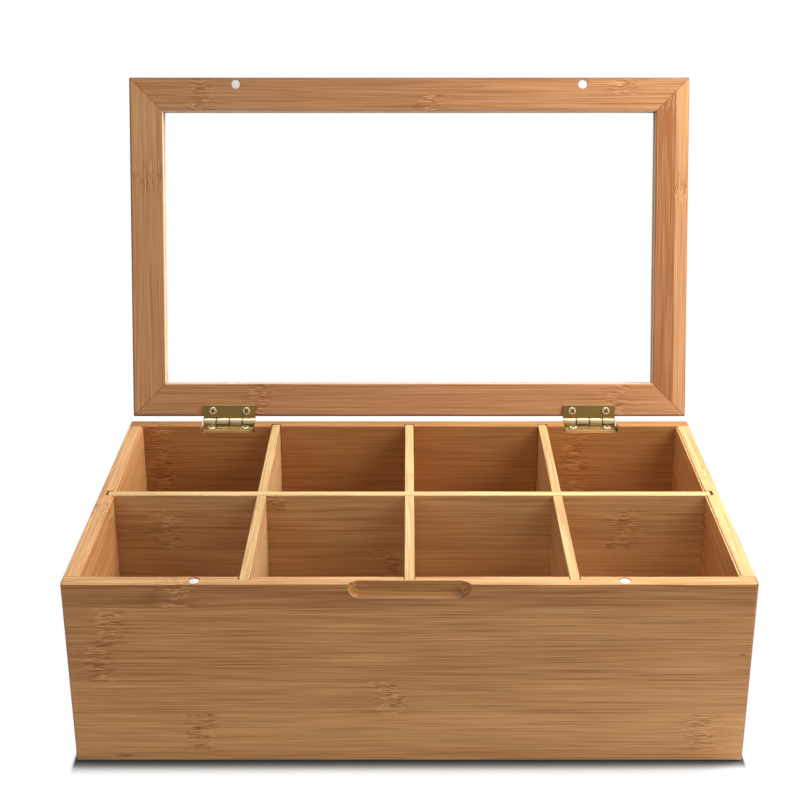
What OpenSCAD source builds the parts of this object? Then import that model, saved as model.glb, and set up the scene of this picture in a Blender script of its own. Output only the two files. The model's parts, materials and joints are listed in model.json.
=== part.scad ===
// Bamboo keeper box with eight bays and a hinged, glazed lid.
// Four glued walls hold a let-in base and a slip-in grid of four dividers. The lid is a mitred
// frame round a clear pane. Two brass butt hinges carry it and two pairs of magnets hold it shut.
// The origin is the middle of the underside; the lid stands open, leaning back past upright.

/* [Box] */
// Length of the box, left to right
box_l = 320; // [280:1:400]
// Depth of the box, front to back
box_w = 194; // [170:1:240]
// Height of the four walls
box_h = 96; // [75:1:130]
// Thickness of the four walls
wall_t = 7.7; // [7.4:0.1:10]
// Thickness of the base panel
base_t = 6; // [4:0.5:8]
// Width of the rebate under the walls that takes the base panel
rebate_w = 4; // [3:0.5:5]
// Play round the base panel in its rebate
base_play = 0.1; // [0.05:0.05:0.3]
// Radius of the upright outer corners
corner_r = 2; // [0.5:0.25:4]
// Radius of the outer edge of the rim
rim_r = 0.7; // [0.3:0.1:1.5]
// Radius of the inner edge of the rim
inner_r = 0.5; // [0.2:0.1:1]
// Radius of the edge under the walls
foot_r = 1.4; // [0.5:0.1:2.5]

/* [Dividers] */
// Thickness of every divider
divider_t = 4.8; // [3.5:0.1:6]
// Clear width of each of the middle bays
middle_bay = 71.4; // [55:0.2:75]
// Depth of the grooves for the cross dividers
cross_groove = 3.2; // [2.6:0.1:3.6]
// Gap between the end of a cross divider and the bottom of its groove
cross_end_gap = 0.3; // [0.1:0.1:1]
// Play on each side of a cross divider in its groove
cross_play = 0.25; // [0.1:0.05:0.5]
// Depth of the grooves for the long divider
long_groove = 4.5; // [3.2:0.1:5]
// Gap between the end of the long divider and the bottom of its groove
long_end_gap = 1.5; // [0.2:0.1:2]
// Play behind the long divider in its groove
long_play = 0.7; // [0.1:0.1:1]
// Play on each side of a half-lap slot
lap_play = 0.1; // [0.05:0.05:0.3]
// How far the cross dividers lie below the rim
cross_drop = 0.3; // [0:0.1:1]
// Radius of the corners at the ends of a divider
divider_r = 0.9; // [0.3:0.1:1.5]
// Radius of the top edges of a divider
divider_ease = 0.5; // [0.2:0.1:0.9]

/* [Finger notch] */
// Length of the notch on the front face
notch_l = 57; // [30:1:90]
// Height of the notch below the rim
notch_h = 7.4; // [5:0.1:8]
// How far the notch cuts back across the rim
notch_d = 3.9; // [2:0.1:4]
// Radius of the round cutter
notch_r = 6.5; // [5.5:0.1:9]

/* [Lid] */
// Thickness of the lid frame
lid_t = 12; // [10:0.5:16]
// Width of the rails and stiles
frame_w = 19; // [17:0.5:28]
// Gap between the rim and the closed lid
lid_gap = 0.4; // [0.3:0.1:1]
// Angle from closed to the lid's stop, where it rests open
lid_open = 107.5; // [90:0.5:115]
// Radius of the outer edges of the lid
lid_r = 1.2; // [0.5:0.1:2]
// Radius of the edges round the window
window_r = 0.8; // [0.3:0.1:1.5]
// Thickness of the clear pane
pane_t = 2.5; // [1.5:0.1:3]
// Depth of the groove that holds the pane
pane_groove = 5; // [3:0.5:7]
// Play round the edge of the pane
pane_play = 0.4; // [0.2:0.1:1]
// Play on each face of the pane
face_play = 0.1; // [0.05:0.05:0.3]

/* [Hinges] */
// Length of a hinge
hinge_l = 30; // [26:1:40]
// Distance of each hinge from the middle of the box
hinge_x = 104; // [96:1:110]
// Distance of the hinge axis behind the back wall
axis_back = 3; // [2.6:0.1:4]
// Thickness of a leaf
leaf_t = 1; // [0.8:0.1:1.2]
// Reach of a leaf from the hinge axis
leaf_reach = 9.8; // [9.2:0.1:10.6]
// Radius of the corners of a leaf
leaf_r = 1.5; // [0.5:0.1:2]
// Number of knuckles on a hinge
knuckles = 4; // [3:1:5]
// Gap between knuckles, and round a knuckle in the other leaf
knuckle_gap = 0.35; // [0.3:0.05:0.5]
// Slot that the end of a rolled knuckle leaves over its leaf
roll_gap = 0.5; // [0.3:0.05:0.7]
// Diameter of the hinge pin
pin_d = 2.4; // [2.2:0.1:2.8]
// Radial play of the pin in its knuckles
pin_play = 0.05; // [0.02:0.01:0.08]
// How far the pin's rounded ends stand out
pin_end = 0.3; // [0.1:0.1:0.6]
// Play at the ends of the mortise for a hinge
mortise_play = 0.35; // [0.3:0.05:0.6]

/* [Screws] */
// Distance between the two screws of a leaf
screw_pitch = 19.4; // [16:0.2:21]
// Distance of the screws from the hinge axis
screw_reach = 6.2; // [5.8:0.1:6.6]
// Diameter of a screw head
head_d = 4.4; // [4:0.1:4.8]
// Height of a screw head
head_h = 0.85; // [0.5:0.05:0.9]
// Diameter of a screw shank
shank_d = 2; // [1.6:0.1:2.4]
// Length of a screw under its head
screw_l = 8; // [6:0.5:9]
// Radial play of a shank in leaf and wood
shank_play = 0.05; // [0.02:0.01:0.1]

/* [Magnets] */
// Distance of each magnet from the middle of the box
magnet_x = 99; // [86:1:125]
// Diameter of a magnet
magnet_d = 5.6; // [4:0.1:6]
// Length of a magnet
magnet_l = 4; // [2:0.5:5]
// How far a magnet lies below the wood
magnet_sink = 0.1; // [0:0.05:0.3]
// Radial play of a magnet in its hole
magnet_play = 0.05; // [0.02:0.01:0.1]

/* [Hidden] */
$fn = 48;
// Overrun of every cutter
over = 1;

// Inside of the box
inner_l = box_l - 2 * wall_t;
inner_w = box_w - 2 * wall_t;
bay_pitch = middle_bay + divider_t;
divider_h = box_h - base_t;

// Hinge axis: the folded hinge fills the mortise, so the lid needs no cut
barrel_r = pin_d / 2 + leaf_t;
axis_y = box_w / 2 + axis_back;
axis_z = box_h + lid_gap - barrel_r;
knuckle_l = (hinge_l - (knuckles - 1) * knuckle_gap) / knuckles;
// Reach of the cuts in a leaf, whose upper edge clears the other leaf's knuckles by the gap
knuckle_relief = sqrt(pow(barrel_r + knuckle_gap, 2) - pow(pin_d / 2, 2));
mortise_d = 2 * barrel_r - lid_gap;

// Underside of the closed lid, and the groove for its pane
lid_z = box_h + lid_gap;
window_l = box_l - 2 * frame_w;
window_w = box_w - 2 * frame_w;
pane_z = lid_z + (lid_t - pane_t) / 2;

// Middle of the front wall, where the magnets of box and lid meet
magnet_y = -box_w / 2 + wall_t / 2;

// Centre of the notch cutter, by the front edge of the rim: its circle passes through
// the points notch_d behind that edge and notch_h below it
notch_chord = sqrt(notch_d * notch_d + notch_h * notch_h);
notch_rise = sqrt(notch_r * notch_r - notch_chord * notch_chord / 4);
notch_y = notch_d / 2 - notch_rise * notch_h / notch_chord;
notch_z = -notch_h / 2 + notch_rise * notch_d / notch_chord;
notch_half = notch_l / 2 - sqrt(notch_r * notch_r - notch_y * notch_y);

bamboo = [0.79, 0.60, 0.40];
pale_bamboo = [0.90, 0.74, 0.53];
brass = [0.72, 0.58, 0.30];
silver = [0.85, 0.85, 0.86];

// What easing takes off a square corner at the origin, with the wood towards +x and +y
module corner_cut(r) {
    difference() {
        translate([-over, -over]) square(r + over);
        translate([r, r]) circle(r);
    }
}

// Rectangle standing on the x axis, with its lower and its upper corners rounded
module soft_rect(w, h, low_r, high_r) {
    difference() {
        translate([-w / 2, 0]) square([w, h]);
        for (side = [0, 1]) mirror([side, 0, 0]) {
            translate([-w / 2, 0]) corner_cut(low_r);
            translate([-w / 2, h]) mirror([0, 1, 0]) corner_cut(high_r);
        }
    }
}

// Block standing at z = 0 with every outer edge eased
module soft_block(l, w, h, upright_r, low_r, high_r) {
    intersection() {
        translate([0, -w / 2, 0]) linear_extrude(h) soft_rect(l, w, upright_r, upright_r);
        translate([0, w / 2 + over, 0]) rotate([90, 0, 0])
            linear_extrude(w + 2 * over) soft_rect(l, h, low_r, high_r);
        translate([-l / 2 - over, 0, 0]) rotate([90, 0, 90])
            linear_extrude(l + 2 * over) soft_rect(w, h, low_r, high_r);
    }
}

// Cutter that eases an edge running along x, with the wood towards +y and +z
module edge_cut(l, r) {
    translate([-l / 2, 0, 0]) rotate([90, 0, 90]) linear_extrude(l) corner_cut(r);
}

// The four walls as one eased block
module box_form() {
    soft_block(box_l, box_w, box_h, corner_r, foot_r, rim_r);
}

// Front wall before its own cuts: full length, grooved for the cross dividers
module long_wall() {
    difference() {
        intersection() {
            box_form();
            translate([-box_l / 2, -box_w / 2, 0]) cube([box_l, wall_t, box_h]);
        }
        translate([-inner_l / 2 - rebate_w, -inner_w / 2 - rebate_w, -over])
            cube([inner_l + 2 * rebate_w, rebate_w + over, base_t + over]);
        translate([0, -inner_w / 2, box_h]) rotate([180, 0, 0]) edge_cut(inner_l, inner_r);
        for (i = [-1:1])
            translate([i * bay_pitch - divider_t / 2 - cross_play, -inner_w / 2 - cross_groove, base_t])
                cube([divider_t + 2 * cross_play, cross_groove + over, box_h]);
    }
}

// Left wall, butted between front and back and grooved for the long divider
module end_wall() {
    difference() {
        intersection() {
            box_form();
            translate([-box_l / 2, -inner_w / 2, 0]) cube([wall_t, inner_w, box_h]);
        }
        translate([-inner_l / 2 - rebate_w, -inner_w / 2 - over, -over])
            cube([rebate_w + over, inner_w + 2 * over, base_t + over]);
        translate([-inner_l / 2, 0, box_h]) rotate([180, 0, 90]) edge_cut(inner_w, inner_r);
        translate([-inner_l / 2 - long_groove, -divider_t / 2, base_t])
            cube([long_groove + over, divider_t + long_play, box_h]);
    }
}

// Ball-ended cut along the top of the front face
module finger_notch() {
    translate([0, -box_w / 2 + notch_y, box_h + notch_z]) {
        rotate([0, 90, 0]) cylinder(h = 2 * notch_half, r = notch_r, center = true);
        for (side = [-1, 1]) translate([side * notch_half, 0, 0]) sphere(notch_r);
    }
}

// Holes for the two magnets, bored down from the surface at z = 0
module magnet_holes() {
    for (side = [-1, 1]) translate([side * magnet_x, magnet_y, -magnet_l - magnet_sink])
        cylinder(h = magnet_l + magnet_sink + over, r = magnet_d / 2 + magnet_play);
}

module magnet(side) {
    color(silver) translate([side * magnet_x, magnet_y, -magnet_l - magnet_sink])
        cylinder(h = magnet_l, d = magnet_d);
}

module front_panel() {
    color(bamboo) difference() {
        long_wall();
        finger_notch();
        translate([0, 0, box_h]) magnet_holes();
    }
}

// Back wall: a through mortise and two pilot holes for each hinge
module back_panel() {
    color(bamboo) difference() {
        mirror([0, 1, 0]) long_wall();
        for (side = [-1, 1]) translate([side * hinge_x, 0, 0]) {
            translate([-hinge_l / 2 - mortise_play, inner_w / 2 - over, box_h - mortise_d])
                cube([hinge_l + 2 * mortise_play, wall_t + 2 * over, mortise_d + over]);
            translate([0, axis_y, axis_z]) screw_holes();
        }
    }
}

module side_panel(side) {
    color(bamboo) mirror([side > 0 ? 1 : 0, 0, 0]) end_wall();
}

module base_panel() {
    color(bamboo) translate([0, 0, base_t / 2])
        cube([inner_l + 2 * rebate_w - 2 * base_play, inner_w + 2 * rebate_w - 2 * base_play, base_t],
            center = true);
}

// Divider along x, on the base, with rounded ends and eased top edges
module divider(l, h) {
    intersection() {
        translate([0, -divider_t / 2, base_t]) linear_extrude(h)
            soft_rect(l, divider_t, divider_r, divider_r);
        translate([-l / 2 - over, 0, base_t]) rotate([90, 0, 90]) linear_extrude(l + 2 * over)
            soft_rect(divider_t, h, divider_ease, divider_ease);
    }
}

// Slot of a half-lap, from the height z_low up over half a divider
module lap_slot(z_low) {
    translate([-divider_t / 2 - lap_play, -divider_t, z_low])
        cube([divider_t + 2 * lap_play, 2 * divider_t, divider_h / 2 + over]);
}

// The long divider runs through on top, slotted from below
module long_divider() {
    color(pale_bamboo) difference() {
        divider(inner_l + 2 * (long_groove - long_end_gap), divider_h);
        for (i = [-1:1]) translate([i * bay_pitch, 0, 0]) lap_slot(base_t - over);
    }
}

// A cross divider passes under it, slotted from above
module cross_divider(i) {
    color(pale_bamboo) translate([i * bay_pitch, 0, 0]) rotate([0, 0, 90]) difference() {
        divider(inner_w + 2 * (cross_groove - cross_end_gap), divider_h - cross_drop);
        lap_slot(base_t + divider_h / 2);
    }
}

// Turns what is modelled on the closed lid back about the hinge axis
module on_open_lid() {
    translate([0, axis_y, axis_z]) rotate([-lid_open, 0, 0]) translate([0, -axis_y, -axis_z])
        children();
}

// Section of the lid frame: its outer edge on the y axis, its underside on the x axis, and
// the groove for the pane in its inner edge
module frame_section() {
    difference() {
        square([frame_w, lid_t]);
        for (side = [0, 1]) translate([0, side * lid_t]) mirror([0, side, 0]) {
            corner_cut(lid_r);
            translate([frame_w, 0]) mirror([1, 0, 0]) corner_cut(window_r);
        }
        translate([frame_w - pane_groove, (lid_t - pane_t) / 2 - face_play])
            square([pane_groove + over, pane_t + 2 * face_play]);
    }
}

// Front piece of a lid that is l long and w deep, mitred at both ends, before its holes
module frame_piece(l, w) {
    translate([0, -w / 2, lid_z]) intersection() {
        translate([-l / 2 - over, 0, 0]) rotate([90, 0, 90])
            linear_extrude(l + 2 * over) frame_section();
        translate([0, 0, -over]) linear_extrude(lid_t + 2 * over) intersection() {
            soft_rect(l, w, lid_r, lid_r);
            polygon([[-l / 2, 0], [l / 2, 0], [l / 2 - frame_w, frame_w], [frame_w - l / 2, frame_w]]);
        }
    }
}

module lid_stile(side) {
    color(bamboo) on_open_lid() rotate([0, 0, side * 90]) frame_piece(box_w, box_l);
}

module lid_front_rail() {
    color(bamboo) on_open_lid() difference() {
        frame_piece(box_l, box_w);
        translate([0, 0, lid_z]) mirror([0, 0, 1]) magnet_holes();
    }
}

module lid_rear_rail() {
    color(bamboo) on_open_lid() difference() {
        rotate([0, 0, 180]) frame_piece(box_l, box_w);
        for (side = [-1, 1]) translate([side * hinge_x, axis_y, axis_z]) mirror([0, 0, 1]) screw_holes();
    }
}

module lid_window() {
    edge = pane_groove - pane_play;
    color([0.92, 0.96, 0.98, 0.35]) on_open_lid() translate([0, 0, pane_z + pane_t / 2])
        cube([window_l + 2 * edge, window_w + 2 * edge, pane_t], center = true);
}

// Middle of the left edge of knuckle k, counted from the left
function knuckle_x(k) = -hinge_l / 2 + k * (knuckle_l + knuckle_gap);

// Places of the two screws of a leaf, by the hinge axis, on the inner face of the leaf
module at_screws() {
    for (side = [-1, 1]) translate([side * screw_pitch / 2, -screw_reach, -pin_d / 2]) children();
}

module screw_holes() {
    at_screws() translate([0, 0, -screw_l - over]) cylinder(h = screw_l + 2 * over, r = shank_d / 2 + shank_play);
}

// Section of a rolled knuckle, seen along the pin: the plate comes in at the lower left
module roll_section() {
    difference() {
        circle(r = barrel_r);
        translate([-barrel_r - over, -pin_d / 2]) square([barrel_r + over, roll_gap]);
    }
}

// Leaf under the axis, which runs along x. Its plate is rolled round the pin at every second
// knuckle, from the first one given, and cut back round the other leaf's knuckles.
module hinge_leaf(first) {
    color(brass) difference() {
        union() {
            translate([0, 0, -barrel_r]) mirror([0, 1, 0]) linear_extrude(leaf_t)
                difference() {
                    translate([-hinge_l / 2, 0]) square([hinge_l, leaf_reach]);
                    for (side = [0, 1]) mirror([side, 0, 0])
                        translate([-hinge_l / 2, leaf_reach]) mirror([0, 1, 0]) corner_cut(leaf_r);
                }
            for (k = [first:2:knuckles - 1]) translate([knuckle_x(k), 0, 0])
                rotate([90, 0, 90]) linear_extrude(knuckle_l) roll_section();
        }
        rotate([0, 90, 0]) cylinder(h = hinge_l + 2 * over, r = pin_d / 2 + pin_play, center = true);
        for (k = [1 - first:2:knuckles - 1])
            translate([knuckle_x(k) - knuckle_gap, -knuckle_relief, -barrel_r - over])
                cube([knuckle_l + 2 * knuckle_gap, 2 * barrel_r, leaf_t + 2 * over]);
        screw_holes();
    }
}

module box_leaf(side) {
    translate([side * hinge_x, axis_y, axis_z]) hinge_leaf(1);
}

module lid_leaf(side) {
    on_open_lid() translate([side * hinge_x, axis_y, axis_z]) mirror([0, 0, 1]) hinge_leaf(0);
}

module hinge_pin(side) {
    color(brass) translate([side * hinge_x, axis_y, axis_z]) rotate([0, 90, 0]) {
        cylinder(h = hinge_l, d = pin_d, center = true);
        for (end = [0, 1]) mirror([0, 0, end]) translate([0, 0, hinge_l / 2])
            cylinder(h = pin_end, d1 = pin_d, d2 = pin_d - 2 * pin_end);
    }
}

// Domed cross-head screw, its head standing on z = 0
module screw() {
    dome_r = (head_d * head_d / 4 + head_h * head_h) / (2 * head_h);
    color(brass) difference() {
        union() {
            intersection() {
                translate([0, 0, head_h - dome_r]) sphere(dome_r);
                cylinder(h = head_h + over, d = head_d + over);
            }
            translate([0, 0, 1.5 - screw_l]) cylinder(h = screw_l - 1.5, d = shank_d);
            translate([0, 0, -screw_l]) cylinder(h = 1.5, d1 = 0.6, d2 = shank_d);
        }
        for (turn = [0, 90]) rotate([0, 0, turn + 20])
            translate([0, 0, head_h]) cube([head_d * 0.6, head_d * 0.14, head_h], center = true);
    }
}

// Screws count from the left; each leaf has one on each side of its middle
module leaf_screw(n) {
    hinge = n < 3 ? -1 : 1;
    end = n % 2 == 1 ? -1 : 1;
    translate([hinge * hinge_x + end * screw_pitch / 2, axis_y - screw_reach, axis_z - pin_d / 2]) screw();
}

module box_screw(n) {
    leaf_screw(n);
}

module lid_screw(n) {
    on_open_lid() translate([0, 0, axis_z]) mirror([0, 0, 1]) translate([0, 0, -axis_z]) leaf_screw(n);
}

front_panel();
back_panel();
side_panel(-1);  // left_side
side_panel(1);  // right_side
base_panel();
long_divider();
cross_divider(-1);  // left_divider
cross_divider(0);  // centre_divider
cross_divider(1);  // right_divider
translate([0, 0, box_h]) magnet(-1);  // left_box_magnet
translate([0, 0, box_h]) magnet(1);  // right_box_magnet
on_open_lid() translate([0, 0, lid_z]) mirror([0, 0, 1]) magnet(-1);  // left_lid_magnet
on_open_lid() translate([0, 0, lid_z]) mirror([0, 0, 1]) magnet(1);  // right_lid_magnet
lid_front_rail();
lid_rear_rail();
lid_stile(-1);  // lid_left_stile
lid_stile(1);  // lid_right_stile
lid_window();
box_leaf(-1);  // left_box_leaf
box_leaf(1);  // right_box_leaf
lid_leaf(-1);  // left_lid_leaf
lid_leaf(1);  // right_lid_leaf
hinge_pin(-1);  // left_hinge_pin
hinge_pin(1);  // right_hinge_pin
box_screw(1);  // box_screw_1
box_screw(2);  // box_screw_2
box_screw(3);  // box_screw_3
box_screw(4);  // box_screw_4
lid_screw(1);  // lid_screw_1
lid_screw(2);  // lid_screw_2
lid_screw(3);  // lid_screw_3
lid_screw(4);  // lid_screw_4
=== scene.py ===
# %% [markdown]
# # A bamboo keeper box with a glazed lid
#
# The box is four glued bamboo walls, a base and a grid of half-lapped dividers. The lid is a mitred frame
# round a clear pane, on two brass hinges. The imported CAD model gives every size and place, so the
# wooden pieces stay as they are and get their finish here. The small hardware is made again, because
# rolled knuckles, cross recesses and soft metal edges are what the eye reads as real brass.

# %% Load the frame
import json
import math
import random

import bmesh
import bpy
from mathutils import Matrix, Vector


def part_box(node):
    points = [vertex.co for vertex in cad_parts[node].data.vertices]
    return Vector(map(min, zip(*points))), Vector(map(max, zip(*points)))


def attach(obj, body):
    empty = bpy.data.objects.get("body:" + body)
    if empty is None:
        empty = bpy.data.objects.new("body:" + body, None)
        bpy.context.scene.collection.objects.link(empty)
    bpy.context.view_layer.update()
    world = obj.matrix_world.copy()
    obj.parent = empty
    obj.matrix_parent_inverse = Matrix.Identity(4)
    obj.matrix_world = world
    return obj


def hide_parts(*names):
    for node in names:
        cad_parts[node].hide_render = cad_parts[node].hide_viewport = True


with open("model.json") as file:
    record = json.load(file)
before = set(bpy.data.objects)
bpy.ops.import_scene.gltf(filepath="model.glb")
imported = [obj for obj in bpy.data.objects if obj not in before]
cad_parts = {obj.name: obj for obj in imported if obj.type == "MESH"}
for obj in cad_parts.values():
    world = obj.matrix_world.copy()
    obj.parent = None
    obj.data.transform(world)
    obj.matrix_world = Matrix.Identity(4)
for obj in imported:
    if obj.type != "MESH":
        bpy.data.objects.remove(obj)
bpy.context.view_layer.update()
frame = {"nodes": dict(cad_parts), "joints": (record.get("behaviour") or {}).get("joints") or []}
MM = 0.001

# %% [markdown]
# ## Sizes that the pieces share
#
# Nothing is measured twice. The hinge axis and the lid's swing come from the joint, and the rest from
# the corner boxes of the CAD nodes. The lid stands open at rest, so one matrix turns what is made on
# the closed lid back about the hinge axis, and its inverse brings a lid piece home again, where its
# grain is square to the axes.

# %% Read the sizes from the frame
wall_low, wall_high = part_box("front_panel")
RIM = wall_high.z
HALF_LENGTH = wall_high.x
HALF_DEPTH = -wall_low.y
joint = frame["joints"][0]
AXIS = Vector(joint["pos_m"])
LID_SWING = math.radians(joint["range_deg"][1])
TO_AXIS = Matrix.Translation(AXIS)
OPEN_LID = TO_AXIS @ Matrix.Rotation(-LID_SWING, 4, "X") @ TO_AXIS.inverted()
CLOSE_LID = OPEN_LID.inverted()


def new_object(name, data):
    made = bpy.data.objects.new(name, data)
    bpy.context.scene.collection.objects.link(made)
    return made


def board_box(name):
    """Corner box of a wooden piece, in the place that it has with the lid closed."""
    turn = CLOSE_LID if name.startswith("lid_") else Matrix.Identity(4)
    points = [turn @ v.co for v in frame["nodes"][name].data.vertices]
    low = Vector([min(p[i] for p in points) for i in range(3)])
    high = Vector([max(p[i] for p in points) for i in range(3)])
    return low, high


print("rim", RIM, "hinge axis", tuple(AXIS), "swing", round(math.degrees(LID_SWING), 1))

# %% [markdown]
# ## Camera
#
# A camera is a place, a direction and a focal length. These were fitted to the corners of the box in
# the photograph: the camera stands 0.8 m from the middle of the box, looks straight along +Y and tips
# down 22 degrees. The box sits 8 pixels right of the picture's middle, which the lens shift takes up,
# so that the walls stay square to the view.

# %% Place the camera
PICTURE = 800
FOCAL_PIXELS = 1504.4
MIDDLE_PIXEL = 408.4
SENSOR = 36.0
CAMERA_PLACE = (-0.5, -703.3, 429.9)
CAMERA_DIP = 21.85
camera_data = bpy.data.cameras.new("camera")
camera_data.sensor_width = SENSOR
camera_data.lens = FOCAL_PIXELS / PICTURE * SENSOR
camera_data.shift_x = -(MIDDLE_PIXEL - PICTURE / 2) / PICTURE
camera_data.clip_start = 0.01
camera = new_object("camera", camera_data)
camera.location = Vector(CAMERA_PLACE) * MM
camera.rotation_euler = (math.radians(90 - CAMERA_DIP), 0, 0)
bpy.context.scene.camera = camera
print("lens", round(camera_data.lens, 2), "mm, shift", round(camera_data.shift_x, 5))

# %% [markdown]
# ## Small helpers for node trees
#
# Shaders here are many small nodes, so a few helpers keep the code short. The first adds a node and
# fills its inputs: a value that is a socket is linked, and any other value is written into the input.
# The others add a node of one kind and return its result.

# %% Helpers for nodes


def add(tree, kind, inputs=None, **settings):
    made = tree.nodes.new(kind)
    for name, value in settings.items():
        setattr(made, name, value)
    for key, value in (inputs or {}).items():
        if isinstance(value, bpy.types.NodeSocket):
            tree.links.new(value, made.inputs[key])
        else:
            made.inputs[key].default_value = value
    return made


def calc(tree, operation, *values):
    """A Math node's result."""
    return add(tree, "ShaderNodeMath", dict(enumerate(values)), operation=operation).outputs[0]


def vector_calc(tree, operation, *vectors):
    """A Vector Math node's vector."""
    return add(tree, "ShaderNodeVectorMath", dict(enumerate(vectors)), operation=operation).outputs[0]


def noise(tree, place, stretch, detail=2.0):
    """Noise of mean 0, from about -0.5 to 0.5, with its own scale along each axis, in 1/m."""
    stretched = vector_calc(tree, "MULTIPLY", place, stretch)
    made = add(tree, "ShaderNodeTexNoise", {"Vector": stretched, "Scale": 1.0, "Detail": detail})
    return calc(tree, "SUBTRACT", made.outputs[0], 0.5)


def xyz(tree, *values):
    """A vector of up to three values."""
    return add(tree, "ShaderNodeCombineXYZ", dict(enumerate(values))).outputs[0]


def parts(tree, vector):
    return add(tree, "ShaderNodeSeparateXYZ", {0: vector}).outputs


def step(tree, value, low, high):
    """0 below low, 1 above high, smooth between."""
    ends = {"Value": value, "From Min": low, "From Max": high}
    return add(tree, "ShaderNodeMapRange", ends, interpolation_type="SMOOTHSTEP").outputs[0]


def blend(tree, mode, factor, first, second):
    """Two colours mixed. Inputs 6 and 7 and output 2 are a Mix node's colours."""
    colours = {0: factor, 6: first, 7: second}
    return add(tree, "ShaderNodeMix", colours, data_type="RGBA", blend_type=mode).outputs[2]


print("node helpers ready")

# %% Helpers for groups and materials


def group(name, takes, gives, kind="ShaderNodeTree"):
    """An empty node group with its sockets, and the nodes that stand for them inside."""
    tree = bpy.data.node_groups.new(name, kind)
    for direction, sockets in (("INPUT", takes), ("OUTPUT", gives)):
        for label, type_name in sockets.items():
            tree.interface.new_socket(label, in_out=direction, socket_type="NodeSocket" + type_name)
    return tree, tree.nodes.new("NodeGroupInput").outputs, tree.nodes.new("NodeGroupOutput").inputs


def material(name, **constants):
    """A new material with a Principled shader, whose constants are set on its own sockets."""
    made = bpy.data.materials.new(name)
    made.use_nodes = True
    shader = made.node_tree.nodes["Principled BSDF"]
    for key, value in constants.items():
        shader.inputs[key.replace("_", " ")].default_value = value
    return made, made.node_tree, shader


SURFACE = {"Color": "Color", "Roughness": "Float", "Height": "Float"}


def dress_surface(tree, shader, pattern, strength, depth):
    """Gives the shader what a group of SURFACE returns, with its height as relief."""
    relief = {"Strength": strength, "Distance": depth, "Height": pattern.outputs["Height"]}
    bump = add(tree, "ShaderNodeBump", relief)
    tree.links.new(pattern.outputs["Color"], shader.inputs["Base Color"])
    tree.links.new(pattern.outputs["Roughness"], shader.inputs["Roughness"])
    tree.links.new(bump.outputs[0], shader.inputs["Normal"])


print("a surface has", ", ".join(SURFACE))

# %% [markdown]
# ## Floor, light and background
#
# The photograph shows a white sweep with one narrow shadow at the foot of the box. A white floor could
# be lit until it clips, but then the bamboo would clip too. Here the floor is matt and pale grey. To
# the camera its colour is painted dark towards the foot of the box, a painted shadow over the real
# one, and it is plain white from little more than a centimetre away. The lamps stay at the level where
# a colour renders as it is written. A key close by on the right makes the fall-off from right to left,
# and a narrow strip overhead only draws the bright lines on the brass. The pane, mirror images and the
# camera see a white world, and everything else is lit by a dim one.

# %% Lay the floor
FLOOR_SIZE = 12.0
PAINTED_SHADOW_REACH = 10 * MM
SHADOW_FROM = 3.5 * MM
WHITE_FROM = 12.6 * MM
# How many times narrower the painted shadow and the fade to white are beside the box than before it
SIDE_FADE = 6.0
FLOOR_PALE = (0.85, 0.885, 0.90, 1)
FLOOR_PAINTED_SHADOW = (0.07, 0.076, 0.078, 1)


def seen_directly(tree):
    """1 for a ray of the camera, of a mirror image or through glass."""
    path = add(tree, "ShaderNodeLightPath").outputs
    clear = calc(tree, "MAXIMUM", path["Is Singular Ray"], path["Is Transmission Ray"])
    return calc(tree, "MAXIMUM", path["Is Camera Ray"], clear)


def floor_material():
    made, tree, shader = material("floor_white", Roughness=0.9)
    place = add(tree, "ShaderNodeTexCoord").outputs["Object"]
    at = parts(tree, place)
    beside = calc(tree, "SUBTRACT", calc(tree, "ABSOLUTE", at["X"]), HALF_LENGTH)
    before = calc(tree, "SUBTRACT", calc(tree, "ABSOLUTE", at["Y"]), HALF_DEPTH)
    beside = calc(tree, "MULTIPLY", calc(tree, "MAXIMUM", beside, 0.0), SIDE_FADE)
    before = calc(tree, "MAXIMUM", before, 0.0)
    offset = {0: xyz(tree, beside, before)}
    distance = add(tree, "ShaderNodeVectorMath", offset, operation="LENGTH").outputs["Value"]
    seen = seen_directly(tree)
    # To the camera the floor's colour is painted dark close to the foot: a painted shadow over the real
    # one
    near = calc(tree, "SUBTRACT", 1.0, step(tree, distance, 0.0, PAINTED_SHADOW_REACH))
    grey = blend(tree, "MIX", calc(tree, "MULTIPLY", near, seen), FLOOR_PALE, FLOOR_PAINTED_SHADOW)
    tree.links.new(grey, shader.inputs["Base Color"])
    far = calc(tree, "MULTIPLY", step(tree, distance, SHADOW_FROM, WHITE_FROM), seen)
    glow = add(tree, "ShaderNodeEmission", {"Color": (1, 1, 1, 1), "Strength": 1.0}).outputs[0]
    mixed = add(tree, "ShaderNodeMixShader", {0: far, 1: shader.outputs[0], 2: glow}).outputs[0]
    tree.links.new(mixed, tree.nodes["Material Output"].inputs["Surface"])
    return made


bpy.ops.mesh.primitive_plane_add(size=FLOOR_SIZE)
floor = bpy.context.object
floor.name = "floor"
floor.data.materials.append(floor_material())
print("floor", FLOOR_SIZE, "m")

# %% Set the lights
AMBIENT = 0.345
bpy.context.scene.view_settings.view_transform = "Standard"
world = bpy.data.worlds.new("studio")
bpy.context.scene.world = world
world.use_nodes = True
sky = world.node_tree
levels = {"Value": seen_directly(sky), "To Min": AMBIENT, "To Max": 1.0}
level = add(sky, "ShaderNodeMapRange", levels).outputs[0]
background = sky.nodes["Background"]
background.inputs["Color"].default_value = (1, 1, 1, 1)
sky.links.new(level, background.inputs["Strength"])


def lamp(name, place, size, watts, colour=(1, 1, 1), aim=(0, 0, 0.08)):
    data = bpy.data.lights.new(name, "AREA")
    data.shape = "RECTANGLE"
    data.size, data.size_y = size
    data.energy = watts
    data.color = colour
    made = new_object(name, data)
    made.location = place
    made.rotation_euler = (Vector(aim) - Vector(place)).to_track_quat("-Z", "Y").to_euler()
    return made


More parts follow.
